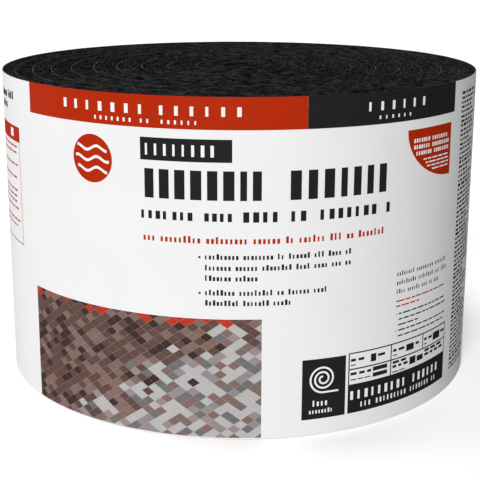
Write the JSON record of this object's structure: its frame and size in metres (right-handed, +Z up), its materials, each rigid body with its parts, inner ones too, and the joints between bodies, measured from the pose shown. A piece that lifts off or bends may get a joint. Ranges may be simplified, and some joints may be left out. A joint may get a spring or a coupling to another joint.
{
  "type": "ridge vent roll",
  "caption": "Strip of black filament ridge vent wound about a small open bore, standing on its end, with ringed ends and a full-height printed paper wrap.",
  "frame": {"origin": "on the roll's axis, at the lower end that it stands on", "axes": "+Z up along the roll's axis, -Y towards the front of the printed wrap, +Y towards the wrap's lapped seam"},
  "size_m": [0.36, 0.3602, 0.2286],
  "materials": {
    "filament_mat": "matte",
    "printed_paper": "satin"
  },
  "bodies": {
    "root": {"vent_roll": "filament_mat", "label_wrap": "printed_paper"}
  },
  "joints": []
}
